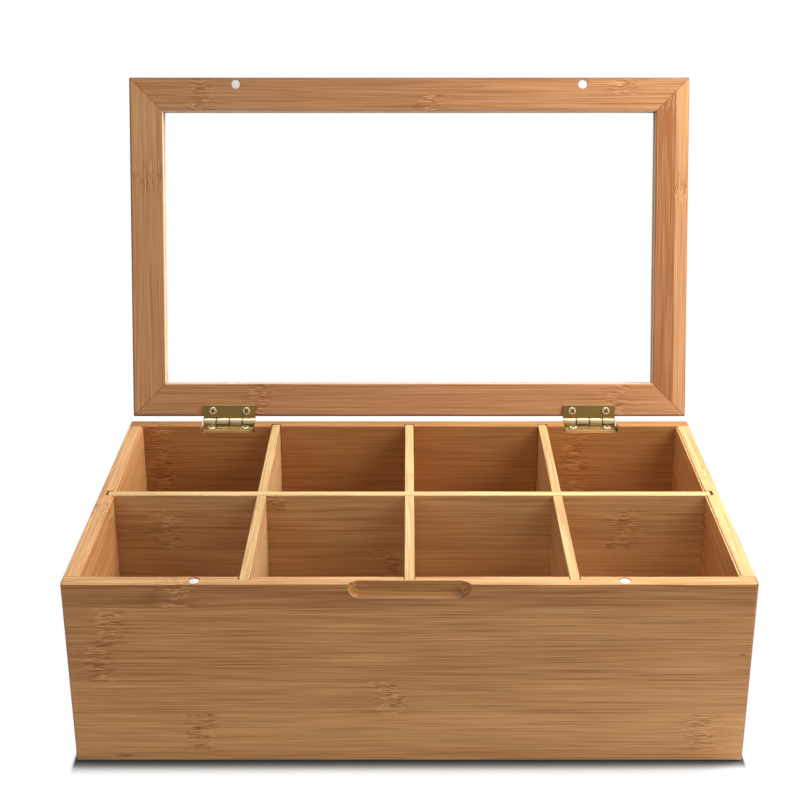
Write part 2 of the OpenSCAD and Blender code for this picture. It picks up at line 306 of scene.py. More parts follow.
key = lamp("key_softbox", (0.46, 0.01, 0.48), (0.35, 0.35), 5.6, (1.0, 0.98, 1.0))
fill = lamp("fill_softbox", (-1.4, -0.9, 1.3), (0.9, 0.9), 6.4)
for soft in (key, fill):
    soft.visible_glossy = False
strip = lamp("metal_strip_light", (0, 0.18, 1.1), (1.0, 0.36), 9)
strip.visible_diffuse = False
print("ambient", AMBIENT)

# %% [markdown]
# ## Bamboo
#
# A bamboo board is glued up from strips. Along each strip run fine straight fibres, and where the
# cane had a joint the fibres bunch into a short band of pale and dark dashes. A picture of wood could
# be wrapped round the pieces, but a pattern worked out in the solid runs correctly over every edge.
# So one shader group takes a place in the board as (along, across, through), and each board gives it
# the strip that the place is in. On the rim the group shows the plies, and on sawn ends the dots of
# the cut fibres.

# %% Bend the fibres
# How far a fibre strays: along the board, near a joint, and right in a joint
WANDER = 3 * MM
RIPPLE = 2 * MM
CURL = 1.5 * MM


def bell(tree, distance, width):
    """1 at distance 0, falling smoothly to 0 beyond about two widths."""
    share = calc(tree, "DIVIDE", distance, width)
    square = calc(tree, "MULTIPLY", share, share)
    return calc(tree, "EXPONENT", calc(tree, "MULTIPLY", square, -1.0))


def weighted(tree, *terms):
    """Sum of value times weight."""
    total = 0.0
    for value, weight in terms:
        total = calc(tree, "MULTIPLY_ADD", value, weight, total)
    return total


def bent_fibres(tree, place, core, halo):
    """A place shifted across the board, so that straight noise along it runs as bamboo fibres do."""
    wander = calc(tree, "MULTIPLY", noise(tree, place, (9, 26, 26)), WANDER)
    ripple = calc(tree, "MULTIPLY", noise(tree, place, (110, 260, 260)), RIPPLE)
    curl = calc(tree, "MULTIPLY", noise(tree, place, (300, 300, 300)), CURL)
    shift = calc(tree, "MULTIPLY_ADD", ripple, halo, wander)
    shift = calc(tree, "MULTIPLY_ADD", curl, core, shift)
    return vector_calc(tree, "ADD", place, xyz(tree, 0.0, shift))


print("fibres wander", WANDER / MM, "mm")

# %% Draw the joints, plies and pores
JOINT_CORE = 7 * MM
JOINT_HALO = 16 * MM
JOINT_RAGGED = 12 * MM
# A dash lies where the noise of the creases passes this height, give or take the width
CREASE = 0.06
CREASE_WIDTH = 0.045


def joint_bands(tree, place, along, joints):
    """The ragged band of the nearest joint, and the wider one round it, each 1 in the middle."""
    ragged = calc(tree, "MULTIPLY_ADD", noise(tree, place, (30, 160, 160)), JOINT_RAGGED, along)
    off_joints = [calc(tree, "SUBTRACT", ragged, middle) for middle in joints]
    to_joint = calc(tree, "MINIMUM", *[calc(tree, "ABSOLUTE", off) for off in off_joints])
    return bell(tree, to_joint, JOINT_CORE), bell(tree, to_joint, JOINT_HALO)


def dashes(tree, fibre):
    """Short pale and dark strokes side by side, as at the joints of the cane."""
    crease = noise(tree, fibre, (80, 1150, 1150), 1.0)
    pale_line = bell(tree, calc(tree, "SUBTRACT", crease, CREASE), CREASE_WIDTH)
    dark_line = bell(tree, calc(tree, "ADD", crease, CREASE), CREASE_WIDTH)
    return calc(tree, "MULTIPLY_ADD", dark_line, -0.75, pale_line)


def plies(tree, layer):
    """Tone of the ply that a place is in, and 1 on the seams between plies."""
    ply = calc(tree, "ROUND", layer)
    tone = add(tree, "ShaderNodeTexWhiteNoise", {"W": ply}, noise_dimensions="1D").outputs["Value"]
    from_middle = calc(tree, "ABSOLUTE", calc(tree, "SUBTRACT", layer, ply))
    seam = step(tree, calc(tree, "SUBTRACT", 0.5, from_middle), 0.02, 0.07)
    return tone, calc(tree, "SUBTRACT", 1.0, seam)


def pores(tree, place):
    """Dots of the cut fibres, as a sawn end shows them."""
    thin = vector_calc(tree, "MULTIPLY", place, (60, 1300, 1300))
    cells = add(tree, "ShaderNodeTexVoronoi", {"Vector": thin, "Scale": 1.0}).outputs["Distance"]
    return calc(tree, "SUBTRACT", 1.0, step(tree, cells, 0.18, 0.5))


# %% Build the bamboo group
# The plies are numbered -1, 0 and 1, and this keeps the outer faces clear of a seam
OUTER_LAYER = 1.4
WOOD_ROUGHNESS = 0.42
VEIN_TINT = (0.82, 0.72, 0.60, 1)
STAIN_AND_SHADE_TINT = (0.45, 0.34, 0.26, 1)
PORE_TINT = (0.62, 0.52, 0.42, 1)
GLUE_TINT = (0.42, 0.33, 0.25, 1)


def bamboo_group():
    takes = dict.fromkeys(("Place", "Face"), "Vector")
    takes |= dict.fromkeys(("Tone", "Joint", "Other Joint", "Glue", "Ply", "Rim"), "Float")
    takes |= dict.fromkeys(("Stain", "Apart", "Streaks"), "Float")
    takes |= dict.fromkeys(("Deep", "Pale", "Rim Tint"), "Color")
    tree, given, out = group("bamboo", takes, SURFACE)
    place = vector_calc(tree, "ADD", given["Place"], given["Apart"])
    part = parts(tree, given["Place"])
    face = parts(tree, given["Face"])
    core, halo = joint_bands(tree, place, part["X"], (given["Joint"], given["Other Joint"]))

    fibre = bent_fibres(tree, place, core, halo)
    fine = noise(tree, fibre, (20, 1800, 1800))
    thread = noise(tree, fibre, (15, 850, 850))
    coarse = noise(tree, fibre, (7, 330, 330))
    cloud = noise(tree, fibre, (9, 60, 60))
    on_edge = step(tree, calc(tree, "ABSOLUTE", face["Y"]), 0.55, 0.85)
    rim = calc(tree, "MULTIPLY", on_edge, given["Rim"])
    plain = calc(tree, "MULTIPLY_ADD", calc(tree, "MINIMUM", rim, 1.0), -0.8, 1.0)
    dash = calc(tree, "MULTIPLY", calc(tree, "MULTIPLY", dashes(tree, fibre), core), plain)

    layer = calc(tree, "DIVIDE", part["Z"], given["Ply"])
    limits = {"Value": layer, "Min": -OUTER_LAYER, "Max": OUTER_LAYER}
    ply_tone, ply_seam = plies(tree, add(tree, "ShaderNodeClamp", limits).outputs[0])

    # How much each pattern lightens or darkens the wood
    streaks = weighted(
        tree,
        (fine, 1.9),
        (thread, 0.65),
        (coarse, 0.2),
        (cloud, 0.3),
        (dash, 0.95),
        (core, -0.06),
        (halo, -0.08),
        (ply_tone, 0.14),
        (ply_seam, -0.06),
    )
    value = calc(tree, "MULTIPLY_ADD", streaks, given["Streaks"], given["Tone"])
    value = add(tree, "ShaderNodeClamp", {0: value}).outputs[0]
    colour = blend(tree, "MIX", value, given["Deep"], given["Pale"])

    vein = calc(tree, "SUBTRACT", 1.0, step(tree, thread, -0.20, -0.08))
    colour = blend(tree, "MULTIPLY", calc(tree, "MULTIPLY", vein, 0.3), colour, VEIN_TINT)
    # Real stains, and painted shade along the front wall's side edges and the lid's outer edge
    colour = blend(tree, "MULTIPLY", given["Stain"], colour, STAIN_AND_SHADE_TINT)
    # The rim tint is partly the paler planed wood and partly painted light on faces that catch the lamps
    colour = blend(tree, "MULTIPLY", rim, colour, given["Rim Tint"])

    dots = pores(tree, place)
    sawn = step(tree, calc(tree, "ABSOLUTE", face["X"]), 0.6, 0.9)
    colour = blend(tree, "MULTIPLY", calc(tree, "MULTIPLY", sawn, dots), colour, PORE_TINT)
    colour = blend(tree, "MULTIPLY", given["Glue"], colour, GLUE_TINT)
    tree.links.new(colour, out["Color"])

    gloss = weighted(tree, (fine, 0.14), (coarse, 0.10), (sawn, 0.15), (given["Glue"], 0.1))
    tree.links.new(calc(tree, "ADD", gloss, WOOD_ROUGHNESS), out["Roughness"])
    height = weighted(tree, (fine, 0.5), (thread, 0.7), (dash, 2.0), (given["Glue"], -0.8))
    tree.links.new(height, out["Height"])
    return tree


BAMBOO = bamboo_group()
print("bamboo group", len(BAMBOO.nodes), "nodes")

# %% [markdown]
# ## Boards
#
# Every board gets the same group with its own layout: which axis the grain runs along, where the glue
# lines between its strips lie, and where each strip has its joint. A ramp with hard steps holds this.
# Its red is the strip's tone, its green and blue are the places of its joints, and its alpha marks the
# glue lines. The strips of the front wall and of the lid follow the photograph. Those of the other
# boards are dealt out by a seeded generator.

# %% Lay out the strips of each board
AXES = {"x": 0, "y": 1, "z": 2}
# The axes that run along the grain of a board, across it and through the board
LAYOUT = {
    "front_panel": "xzy",
    "back_panel": "xzy",
    "left_side": "yzx",
    "right_side": "yzx",
    "base_panel": "xyz",
    "long_divider": "xzy",
    "left_divider": "yzx",
    "centre_divider": "yzx",
    "right_divider": "yzx",
    "lid_front_rail": "xyz",
    "lid_rear_rail": "xyz",
    "lid_left_stile": "yxz",
    "lid_right_stile": "yxz",
}
# Each strip: its upper edge in mm, its tone, and the places of its joints in mm
SEEN_STRIPS = {
    "front_panel": [
        (5.5, 0.72, None, None),
        (26.5, 0.82, -99, 139),
        (44.2, 0.60, -10.8, None),
        (63.5, 0.47, -145.5, None),
        (84.0, 0.50, -139, None),
        (96.0, 0.24, -107, None),
    ],
    "lid_front_rail": [(-87.5, 0.42, -119, 122.5), (-78.0, 0.40, -119, 12)],
    "lid_rear_rail": [(87.5, 0.54, -87, 119), (97.0, 0.58, -89, 118)],
    "lid_left_stile": [(-153.8, 0.74, -44, None), (-141.0, 0.66, -42, None)],
    "lid_right_stile": [(152.5, 0.08, -83, None), (160.0, 0.76, -32, None)],
}
print(len(LAYOUT), "boards,", len(SEEN_STRIPS), "laid out from the photograph")

# %% Deal the other strips
# Distances in mm, and the range of the tones
CANE_JOINTS = 238
FIRST_STRIP = (8, 22)
STRIP = (16, 26)
DEALT_TONE = (0.36, 0.62)


def dealt_strips(low, high, half_length, seed):
    """Strips of 16 to 26 mm across a board, each with a tone and with joints a cane's length apart."""
    deal = random.Random(seed)
    strips = []
    edge = low / MM + deal.uniform(*FIRST_STRIP)
    while edge < high / MM + STRIP[0]:
        joint_place = deal.uniform(-0.9, 0.9) * half_length / MM
        other = joint_place - math.copysign(CANE_JOINTS, joint_place)
        strips.append((edge, deal.uniform(*DEALT_TONE), joint_place, other))
        edge += deal.uniform(*STRIP)
    return strips


print("strips of", *STRIP, "mm")

# %% Put the strips into a ramp
GLUE_LINE = 0.22 * MM


def coded(place, half_length):
    """A place within twice a board's length, as 0 to 1. No joint is coded as one far off its end."""
    return 1.0 if place is None else min(1.0, max(0.0, place * MM / half_length / 4 + 0.5))


def strip_ramp(tree, across, low, high, half_length, strips):
    """The strip at a place across the board, as tone, both joint places and glue."""
    span = high - low
    ends = {"Value": across, "From Min": low, "From Max": high}
    share = add(tree, "ShaderNodeMapRange", ends).outputs[0]
    ramp_node = add(tree, "ShaderNodeValToRGB", {0: share})
    ramp = ramp_node.color_ramp
    ramp.interpolation = "CONSTANT"
    start = 0.0
    for number, (edge, tone, *places) in enumerate(strips):
        colour = (tone, *[coded(place, half_length) for place in places])
        stop = ramp.elements.new(start) if number else ramp.elements[0]
        stop.position = start
        stop.color = (*colour, 1)
        start = min(1.0, (edge * MM - low) / span)
        if number < len(strips) - 1:
            seam = ramp.elements.new(max(0.0, start - GLUE_LINE / span))
            seam.color = (*colour, 0)
    # A new ramp comes with a last stop of its own
    ramp.elements.remove(ramp.elements[-1])
    part = add(tree, "ShaderNodeSeparateColor", {0: ramp_node.outputs["Color"]}).outputs
    joints = [calc(tree, "SUBTRACT", part[key], 0.5) for key in ("Green", "Blue")]
    joints = [calc(tree, "MULTIPLY", place, 4 * half_length) for place in joints]
    glue = calc(tree, "SUBTRACT", 1.0, ramp_node.outputs["Alpha"])
    return part["Red"], *joints, glue


print("glue lines of", round(GLUE_LINE / MM, 2), "mm")

# %% [markdown]
# ## Lacquered boards
#
# The board's own axes come from its object coordinates, which the CAD nodes carry in metres. A lid
# board is first turned back to where it is with the lid closed. The end joints of the side walls and
# the mitres of the lid get a hairline of dark glue, as every hand-fitted joint shows, and a painted
# line of shade runs round each divider where it sits in its groove. The rims of the walls and the inner
# edges of the lid are paler, partly as freshly planed wood is and partly as painted light where these
# faces catch the lamps. The outer edge of the lid is painted darker, as a painted shade along it.

# %% Choose the finish of each board
# Deep tone, pale tone, and the factor that makes the rim paler, partly planed wood and partly painted
# light
FINISH = {
    "wall": ((0.320, 0.124, 0.032, 1), (0.70, 0.358, 0.136, 1), (1.58, 1.87, 2.40, 1)),
    "divider": ((0.40, 0.19, 0.065, 1), (0.74, 0.45, 0.20, 1), (1.21, 1.37, 1.35, 1)),
    "base": ((0.32, 0.14, 0.050, 1), (0.58, 0.31, 0.14, 1), (1, 1, 1, 1)),
    "lid": ((0.30, 0.118, 0.041, 1), (0.62, 0.325, 0.148, 1), (1.5, 2.2, 3.3, 1)),
}
SEAM_SHADE = 0.16
RIM_BAND = 2.5 * MM
HAIRLINE = 0.2 * MM
# Dark marks on the front wall, stains and at both ends a painted shade along the side edges: middle along
# and up in mm, half length and half height in mm, strength
FRONT_STAINS_AND_EDGE_SHADE = [
    (-117.5, 90, 4.5, 3, 0.35),
    (-136, 3.2, 4, 0.8, 0.8),
    (155.5, 59, 1.2, 0.5, 0.9),
    (-159.8, 48, 0.5, 90, 0.8),
    (159.8, 48, 0.9, 90, 1.0),
]
# How much of the pale rim tint a board shows, where it isn't 1. The tint is partly painted light, so the
# back wall, shaded by the lid, shows little of it
RIM_SHARE = {"back_panel": 0.15, "left_side": 0.55, "right_side": 0.7, "long_divider": 2.0}
# How much paler a board is than the tones of its strips
TONE_SHIFT = {"back_panel": -0.14, "left_side": 0.14, "long_divider": 0.2, "centre_divider": -0.05}
# How strong the streaks are, where it isn't 1
STREAKS = {name: 0.8 for name in LAYOUT if name.startswith("lid_")} | {"back_panel": 0.6}
FIBRE_RELIEF = 0.10 * MM
DIVIDERS = [name for name in LAYOUT if name.endswith("divider")]
GROOVE_SHADE = 0.3 * MM
# Width of the painted shade along the lid's outer edge
EDGE_SHADE = 1.4 * MM
# Distance between two boards in the noise, in m
BOARDS_APART = 0.731


def board_kind(name):
    if name.startswith("lid_"):
        return "lid"
    if name.endswith("divider"):
        return "divider"
    return "base" if name == "base_panel" else "wall"


print("finishes:", ", ".join(FINISH))

# %% Draw the lines and marks


def hairline(tree, distance):
    """1 within a hairline of distance 0, else 0."""
    return calc(tree, "LESS_THAN", calc(tree, "ABSOLUTE", distance), HAIRLINE)


def stains_and_edge_shade(tree, at, marks):
    """How dark the stains and the painted edge shade on a wall are at a place, 0 to 1."""
    total = 0.0
    for along, up, half_length, half_height, strength in marks:
        flat = calc(tree, "DIVIDE", calc(tree, "SUBTRACT", at["X"], along * MM), half_length * MM)
        tall = calc(tree, "DIVIDE", calc(tree, "SUBTRACT", at["Z"], up * MM), half_height * MM)
        square = calc(tree, "MULTIPLY_ADD", flat, flat, calc(tree, "MULTIPLY", tall, tall))
        apart = calc(tree, "SQRT", square)
        total = calc(tree, "MULTIPLY_ADD", bell(tree, apart, 1.0), strength, total)
    return total


def divider_seams(tree, at):
    """A painted dark line of shade round the end of every divider, where it sits in its groove."""
    line = 0.0
    for low, high in map(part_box, DIVIDERS):
        off = []
        for i in range(2):
            from_middle = calc(tree, "ABSOLUTE", calc(tree, "SUBTRACT", at[i], (low[i] + high[i]) / 2))
            off.append(calc(tree, "SUBTRACT", from_middle, (high[i] - low[i]) / 2))
        near = calc(tree, "LESS_THAN", calc(tree, "MAXIMUM", *off), GROOVE_SHADE)
        line = calc(tree, "MAXIMUM", line, near)
    return line


def lid_lines(tree, at, upright, width):
    """Mitre lines, the inner half where the rim tint shows, and the painted shade along the outer edge.
    """
    from_end = calc(tree, "SUBTRACT", calc(tree, "ABSOLUTE", at[0]), HALF_LENGTH)
    from_side = calc(tree, "SUBTRACT", calc(tree, "ABSOLUTE", at[1]), HALF_DEPTH)
    mitre = hairline(tree, calc(tree, "SUBTRACT", from_end, from_side))
    outside = calc(tree, "MAXIMUM", from_end, from_side)
    inner = calc(tree, "LESS_THAN", outside, -width / 2)
    flat_face = calc(tree, "GREATER_THAN", calc(tree, "ABSOLUTE", upright), 0.5)
    # The last mask paints shade along the lid's outer edge
    return mitre, inner, calc(tree, "MULTIPLY", step(tree, outside, -EDGE_SHADE, 0.0), flat_face)


print("dividers:", ", ".join(DIVIDERS))

# %% Make the material of a board


def board_coordinates(tree, name):
    """Place and normal on a board, split along the axes, as they are with the lid closed."""
    coordinate = add(tree, "ShaderNodeTexCoord").outputs
    place, normal = coordinate["Object"], coordinate["Normal"]
    if name.startswith("lid_"):
        turn = CLOSE_LID.to_euler()
        swung = {"Vector": place, "Rotation": turn, "Location": CLOSE_LID.to_translation()}
        place = add(tree, "ShaderNodeMapping", swung).outputs[0]
        normal = add(tree, "ShaderNodeMapping", {"Vector": normal, "Rotation": turn}).outputs[0]
    return parts(tree, place), parts(tree, normal)


def board_material(number, name):
    low, high = board_box(name)
    along, across, through = (AXES[letter] for letter in LAYOUT[name])
    constants = {"Specular_IOR_Level": 0.2, "Coat_Weight": 0.05, "Coat_Roughness": 0.28}
    made, tree, shader = material(name + "_bamboo", **constants)
    at, facing = board_coordinates(tree, name)
    half_length = (high[along] - low[along]) / 2
    extent = (low[across], high[across], half_length)
    strips = SEEN_STRIPS.get(name) or dealt_strips(*extent, number)
    tone, first, other, glue = strip_ramp(tree, at[across], *extent, strips)
    glue = calc(tree, "MULTIPLY", glue, SEAM_SHADE)
    depth = calc(tree, "SUBTRACT", at[through], (low[through] + high[through]) / 2)
    if name.startswith("lid_"):
        mitre, rim, dark = lid_lines(tree, at, facing[through], high[across] - low[across])
        glue = calc(tree, "MAXIMUM", glue, mitre)
    else:
        # Wall tops get the rim tint, partly painted light where they face the lamps
        rim = step(tree, at[across], high[across] - RIM_BAND, high[across] - RIM_BAND / 2)
        rim = calc(tree, "MULTIPLY", rim, RIM_SHARE.get(name, 1.0))
        # The front wall's stains, and painted shade along its two side edges
        dark = stains_and_edge_shade(tree, at, FRONT_STAINS_AND_EDGE_SHADE) if name == "front_panel" else 0.0
    if board_kind(name) == "wall":
        # Walls also get painted shade round each divider, carried with the glue lines
        glue = calc(tree, "MAXIMUM", glue, divider_seams(tree, at))
    if name.endswith("_side"):
        from_end = calc(tree, "SUBTRACT", calc(tree, "ABSOLUTE", at[along]), high[along])
        glue = calc(tree, "MAXIMUM", glue, hairline(tree, from_end))
    inputs = {
        "Place": xyz(tree, at[along], at[across], depth),
        "Face": xyz(tree, facing[along], facing[across], facing[through]),
        "Tone": calc(tree, "ADD", tone, TONE_SHIFT.get(name, 0.0)),
        "Joint": first,
        "Other Joint": other,
        "Glue": glue,
        "Ply": (high[through] - low[through]) / 3,
        "Rim": rim,
        "Stain": dark,
        "Apart": number * BOARDS_APART,
        "Streaks": STREAKS.get(name, 1.0),
        **dict(zip(("Deep", "Pale", "Rim Tint"), FINISH[board_kind(name)])),
    }
    wood = add(tree, "ShaderNodeGroup", inputs, node_tree=BAMBOO)
    dress_surface(tree, shader, wood, 0.35, FIBRE_RELIEF)
    return made


print("ready to finish", len(LAYOUT), "boards")

# %% Finish the boards


def finish_node(name, made):
    for slot in frame["nodes"][name].material_slots:
        slot.material = made


for number, name in enumerate(LAYOUT):
    finish_node(name, board_material(number, name))
print("boards finished:", ", ".join(LAYOUT))

# %% [markdown]
# ## Clear pane
#
# The pane slides in a groove of the frame. Real glass between a white floor and a white sky all but
# vanishes, which is what the photograph shows, so this is plain clear glass with the faint waves of
# drawn glass. It casts no shadow, because light that passes a pane would need slow caustics.

# %% Glaze the lid
WAVE_DEPTH = 0.05 * MM


def pane_material():
    glass = {"Base_Color": (0.99, 1, 1, 1), "Roughness": 0.0, "Transmission_Weight": 1.0, "IOR": 1.5}
    made, tree, shader = material("clear_pane", **glass)
    waves = noise(tree, add(tree, "ShaderNodeTexCoord").outputs["Object"], (9, 40, 40))
    bump = add(tree, "ShaderNodeBump", {"Strength": 0.1, "Distance": WAVE_DEPTH, "Height": waves})
    tree.links.new(bump.outputs[0], shader.inputs["Normal"])
    return made


finish_node("lid_window", pane_material())
frame["nodes"]["lid_window"].visible_shadow = False
print("pane finished")

# %% [markdown]
# ## Brass and nickel
#
# The metals are tumbled after stamping, which leaves a soft mottle, fine scratches and a slightly
# uneven gloss. One group makes this for three finishes: dull brass for the plates of the hinges, paler
# brass for the screws and satin nickel for the magnets. The knuckles and the far edges of the leaves
# are paler, partly polished by use and partly a painted highlight, and painted shade darkens the gaps
# between the knuckles and the recesses of the screws. The knuckles stand closer here than in the CAD
# model, because its wider gap would show the white floor behind, and the painted shade marks the gap
# instead.

# %% Read the hinge
leaf_low, leaf_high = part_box("left_box_leaf")
pin_low, pin_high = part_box("left_hinge_pin")
BARREL = AXIS.z - leaf_low.z
HINGE = leaf_high.x - leaf_low.x
HINGE_MIDDLE = -(leaf_low.x + leaf_high.x) / 2
KNUCKLES = 4
KNUCKLE_GAP = 0.12 * MM
REACH = AXIS.y - leaf_low.y
KNUCKLE = (HINGE - (KNUCKLES - 1) * KNUCKLE_GAP) / KNUCKLES
KNUCKLE_PITCH = KNUCKLE + KNUCKLE_GAP
print("hinge", round(HINGE / MM, 1), "mm, barrel radius", round(BARREL / MM, 2), "mm")

# %% Build the metal group
# Colour of the painted shade in the gaps between knuckles and in the screw recesses
PAINTED_SHADE_TINT = (0.16, 0.12, 0.08, 1)
# Paler brass on the knuckles and far leaf edges, partly polish and partly a painted highlight
POLISHED_HIGHLIGHT = (0.76, 0.62, 0.34, 1)
UNEVEN_GLOSS = 0.16


def metal_group():
    takes = {"Place": "Vector", "Bright": "Color", "Dull": "Color"}
    takes |= {"Gloss": "Float", "Grime": "Float", "Polish": "Float"}
    tree, given, out = group("tumbled_metal", takes, SURFACE)
    mottle = noise(tree, given["Place"], (420, 420, 420), 3.0)
    scratch = noise(tree, given["Place"], (300, 6000, 2500), 2.0)
    wear = weighted(tree, (mottle, 0.5), (scratch, 0.3))
    shade = add(tree, "ShaderNodeClamp", {0: calc(tree, "ADD", wear, 0.5)}).outputs[0]
    colour = blend(tree, "MIX", shade, given["Dull"], given["Bright"])
    colour = blend(tree, "MIX", given["Polish"], colour, POLISHED_HIGHLIGHT)
    tree.links.new(blend(tree, "MULTIPLY", given["Grime"], colour, PAINTED_SHADE_TINT), out["Color"])
    tree.links.new(calc(tree, "MULTIPLY_ADD", wear, -UNEVEN_GLOSS, given["Gloss"]), out["Roughness"])
    tree.links.new(scratch, out["Height"])
    return tree


METAL = metal_group()
print("metal group", len(METAL.nodes), "nodes")

# %% Wear the hinges and the screws
# Painted shade between the knuckles: its dark core and its fade, from the middle of a gap
GAP_SHADE_CORE = 0.2 * MM
GAP_SHADE_EDGE = 0.55 * MM
# The outer gaps lie one pitch from the middle
GAP_SHADE_REACH = 1.4 * KNUCKLE_PITCH
BARREL_SKIN = 1.03 * BARREL
# Width of the far leaf edge that gets the polish and painted highlight
WORN_HIGHLIGHT_EDGE = 0.3 * MM


def knuckle_shade_and_highlight(tree, place):
    """Paler colour on the knuckles and far edges of either hinge, partly polish and partly painted
    highlight, and painted shade between the knuckles.
    """
    at = parts(tree, place)
    along = calc(tree, "SUBTRACT", calc(tree, "ABSOLUTE", at["X"]), HINGE_MIDDLE)
    to_gap = calc(tree, "ABSOLUTE", calc(tree, "WRAP", along, KNUCKLE_PITCH / 2, -KNUCKLE_PITCH / 2))
    dark = calc(tree, "SUBTRACT", 1.0, step(tree, to_gap, GAP_SHADE_CORE, GAP_SHADE_EDGE))
    inside = calc(tree, "LESS_THAN", calc(tree, "ABSOLUTE", along), GAP_SHADE_REACH)
    from_pin = [calc(tree, "SUBTRACT", at[i], AXIS[i]) for i in (1, 2)]
    squares = [calc(tree, "MULTIPLY", side, side) for side in from_pin]
    square = calc(tree, "ADD", *squares)
    barrel = calc(tree, "LESS_THAN", square, BARREL_SKIN**2)
    edge = calc(tree, "GREATER_THAN", square, (REACH - WORN_HIGHLIGHT_EDGE) ** 2)
    gap_shade = calc(tree, "MULTIPLY", calc(tree, "MULTIPLY", dark, inside), barrel)
    return {"Grime": gap_shade, "Polish": calc(tree, "MAXIMUM", barrel, edge)}


def recess_shade(tree, _):
    """Painted shade in a screw's recess, whose faces an attribute marks."""
    return {"Grime": add(tree, "ShaderNodeAttribute", attribute_name="recess").outputs["Fac"]}


print("painted shade lies", round(GAP_SHADE_EDGE / MM, 2), "mm round a gap")

# %% Mix the three metals
SCRATCH_DEPTH = 0.02 * MM


def metal_material(name, bright, dull, gloss, metallic, coat, wear=None):
    constants = {"Metallic": metallic, "Coat_Weight": coat, "Coat_Roughness": 0.1}
    made, tree, shader = material(name, **constants)
    place = add(tree, "ShaderNodeTexCoord").outputs["Object"]
    inputs = {"Place": place, "Bright": bright, "Dull": dull, "Gloss": gloss}
    # wear gives a piece its painted shade, and its polish with a painted highlight
    if wear:
        inputs |= wear(tree, place)
    tumbled = add(tree, "ShaderNodeGroup", inputs, node_tree=METAL)
    dress_surface(tree, shader, tumbled, 0.2, SCRATCH_DEPTH)
    return made


# Bright and dull colour, then roughness, metallic and coat
PLATE_BRASS = (0.35, 0.215, 0.042, 1), (0.29, 0.165, 0.031, 1), 0.17, 0.6, 0.7
PALE_BRASS = (0.86, 0.72, 0.44, 1), (0.70, 0.54, 0.28, 1), 0.22, 0.45, 0.2
SATIN_NICKEL = (0.91, 0.85, 0.80, 1), (0.84, 0.78, 0.73, 1), 0.28, 0.1, 0.6
BRASS = metal_material("hinge_brass", *PLATE_BRASS, knuckle_shade_and_highlight)
SCREW_BRASS = metal_material("screw_brass", *PALE_BRASS, recess_shade)
NICKEL = metal_material("magnet_nickel", *SATIN_NICKEL)
print("metals ready")

# %% [markdown]
# ## Turned hardware
#
# Screws, pins and magnets are turned shapes, so each is one outline spun round its axis. A cross
# recess is then cut into the screw head. The recess tapers as a driver's tip does, which gives the
# bright and dark wedges that one sees in a real screw. Its faces carry an attribute, so that the
# metal can paint shade into them.

# %% Helpers for meshes
TURN_STEPS = 32
WELD = 1e-6


def mesh_object(name, bm, finish):
    mesh = bpy.data.meshes.new(name)
    bmesh.ops.recalc_face_normals(bm, faces=bm.faces)
    bm.to_mesh(mesh)
    bm.free()
    mesh.materials.append(finish)
    return new_object(name, mesh)


def turned(name, outline, finish):
    """Spins an outline of (radius, height) points round Z. Its first and last points lie on the axis."""
    bm = bmesh.new()
    vertices = [bm.verts.new((radius, 0, height)) for radius, height in outline]
    edges = [bm.edges.new(pair) for pair in zip(vertices, vertices[1:])]
    turn = {"axis": (0, 0, 1), "cent": (0, 0, 0), "angle": math.tau, "steps": TURN_STEPS}
    bmesh.ops.spin(bm, geom=vertices + edges, **turn)
    bmesh.ops.remove_doubles(bm, verts=bm.verts, dist=WELD)
    for face in bm.faces:
        face.smooth = True
    return mesh_object(name, bm, finish)


def plain_mesh(source, name):
    """What the modifiers of an object make, as a plain object with its place in its mesh."""
    graph = bpy.context.evaluated_depsgraph_get()
    mesh = bpy.data.meshes.new_from_object(source.evaluated_get(graph))
    mesh.transform(source.matrix_world)
    bpy.data.objects.remove(source)
    return new_object(name, mesh)


def arc(centre, radius, start, end, count):
    """Points of an arc in a plane, angles in degrees."""
    angles = [math.radians(start + (end - start) * i / count) for i in range(count + 1)]
    return [(centre[0] + radius * math.cos(a), centre[1] + radius * math.sin(a)) for a in angles]


print("helpers ready")

# %% Turn one screw
screw_low, screw_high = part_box("box_screw_1")
HEAD = (screw_high.x - screw_low.x) / 2
PIN = (pin_high.z - pin_low.z) / 2
LEAF = BARREL - PIN
SEAT = AXIS.z - PIN
HEAD_HEIGHT = screw_high.z - SEAT
SHANK = 1.0 * MM
TIP = 1.5 * MM
SHOULDER = 0.55 * MM
CROWN = 0.1 * MM


def screw_blank():
    """A pan head: nearly flat on top, with a rounded shoulder down to the leaf."""
    sink = SEAT - screw_low.z
    crown = [(0, HEAD_HEIGHT), (HEAD * 0.45, HEAD_HEIGHT - CROWN * 0.3)]
    shoulder = arc((HEAD - SHOULDER, HEAD_HEIGHT - SHOULDER - CROWN), SHOULDER, 75, 0, 6)
    shank = [(HEAD, 0), (SHANK, 0), (SHANK, TIP - sink)]
    point = [(0.3 * MM, 0.1 * MM - sink), (0, -sink)]
    return turned("screw", crown + shoulder + shank + point, SCREW_BRASS)


print("screw heads", round(2 * HEAD / MM, 2), "mm wide")

# %% Cut its recess
# Recess: reach and half width at the top, and depth, as shares of the head's radius and height
RECESS_REACH = 0.68
RECESS_WIDTH = 0.19
RECESS_DEPTH = 1.5
# Its reach and width at the bottom, as shares of those at the top
FOOT_REACH = 0.25
FOOT_WIDTH = 0.6
# A face belongs to it if its middle lies between these heights over the leaf, this near the axis
RECESS_FLOOR = -0.5 * MM
RECESS_RIM = HEAD_HEIGHT - CROWN * 0.9
RECESS_WALL = HEAD * 0.66


